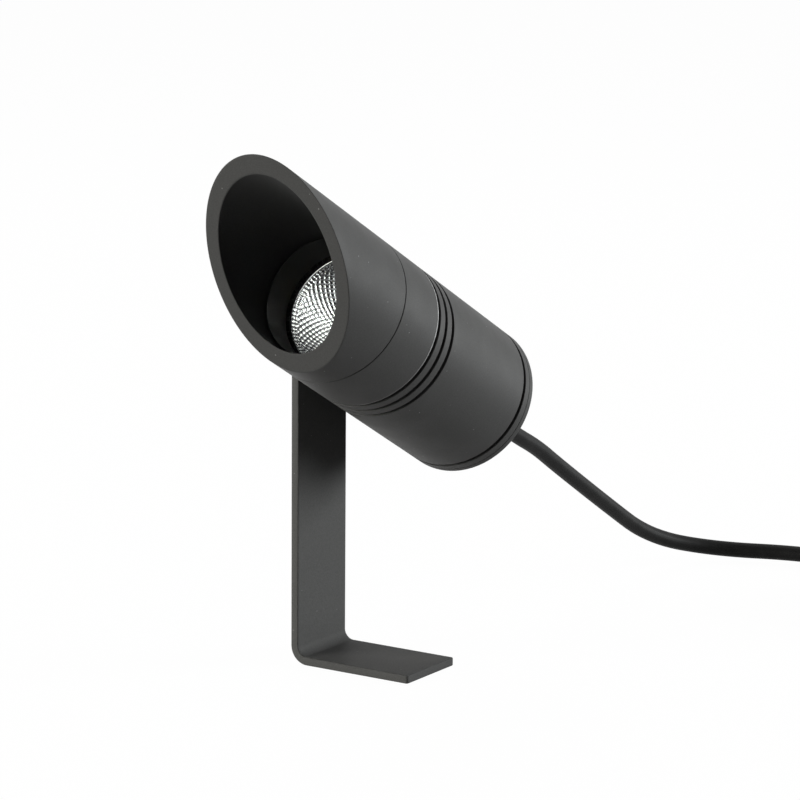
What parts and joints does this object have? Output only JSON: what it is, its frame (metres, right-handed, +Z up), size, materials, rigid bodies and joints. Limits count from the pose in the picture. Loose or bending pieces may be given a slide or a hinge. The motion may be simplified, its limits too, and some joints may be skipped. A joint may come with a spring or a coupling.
{
  "type": "landscape spotlight",
  "caption": "Outdoor landscape spotlight: grooved round barrel with a slant-cut glare hood, tilting on a plain bent strip bracket, with a rear cable gland and bare-ended supply lead.",
  "frame": {"origin": "centre of the flat underside of the bracket's foot", "axes": "+Z up, +X along the foot from the upright towards its tip and along the tilt hinge, the lamp looks towards -Y and up"},
  "size_m": [0.2133, 0.3356, 0.2081],
  "materials": {
    "powder_coat": "fine textured matt anthracite powder coat",
    "strip_coat": "fine textured matt anthracite powder coat",
    "black_anodised": "matt black anodised",
    "clear_glass": "clear polished",
    "bright_reflector": "bright faceted",
    "stainless": "satin",
    "spacer_metal": "matt anthracite",
    "seal_rubber": "matt",
    "black_nylon": "moulded satin",
    "board_white": "white solder mask",
    "phosphor": "cast phosphor",
    "holder_white": "moulded",
    "thermal_grey": "soft pad",
    "driver_plastic": "moulded",
    "cord_rubber": "matt extruded rubber",
    "wire_brown": "extruded",
    "wire_blue": "extruded",
    "wire_earth": "extruded, green and yellow",
    "wire_red": "extruded",
    "tinned_metal": "bright tinned"
  },
  "bodies": {
    "bracket": {"bracket": "strip_coat", "cord_lead": "cord_rubber", "cord_coil": "cord_rubber", "coil_tie": "black_nylon", "core_brown": "wire_brown", "core_blue": "wire_blue", "core_earth": "wire_earth", "ferrules": "tinned_metal"},
    "head": {"body": "powder_coat", "rear_cap": "powder_coat", "bezel_ring": "black_anodised", "lens_glass": "clear_glass", "reflector": "bright_reflector", "pivot_bolt": "stainless", "flat_washer": "stainless", "spring_washer": "stainless", "cap_screws": "stainless", "holder_screws": "stainless", "driver_screws": "stainless", "earth_screw": "stainless", "pivot_spacer": "spacer_metal", "hood_o_ring": "seal_rubber", "lens_gasket": "seal_rubber", "rear_o_ring": "seal_rubber", "gland_seal": "seal_rubber", "gland_body": "black_nylon", "gland_locknut": "black_nylon", "gland_nut": "black_nylon", "friction_washer": "black_nylon", "led_board": "board_white", "led_emitter": "phosphor", "led_holder": "holder_white", "thermal_pad": "thermal_grey", "driver_case": "driver_plastic", "terminal_block": "driver_plastic", "cord_entry": "cord_rubber", "supply_cores": "wire_brown", "earth_lead": "wire_earth", "led_leads": "wire_red", "earth_lug": "tinned_metal"},
    "hood": {"hood": "powder_coat"}
  },
  "joints": [
    {"name": "head_tilt", "type": "hinge", "parent": "bracket", "child": "head", "pos_m": [0.00635, 0, 0.1242], "axis": [-1, 0, 0], "range_deg": [-60, 60], "deforming": ["cord_lead"]},
    {"name": "hood_turn", "type": "hinge", "parent": "head", "child": "hood", "pos_m": [0.00635, 0, 0.1242], "axis": [0, -0.878, 0.4787], "continuous": true}
  ]
}
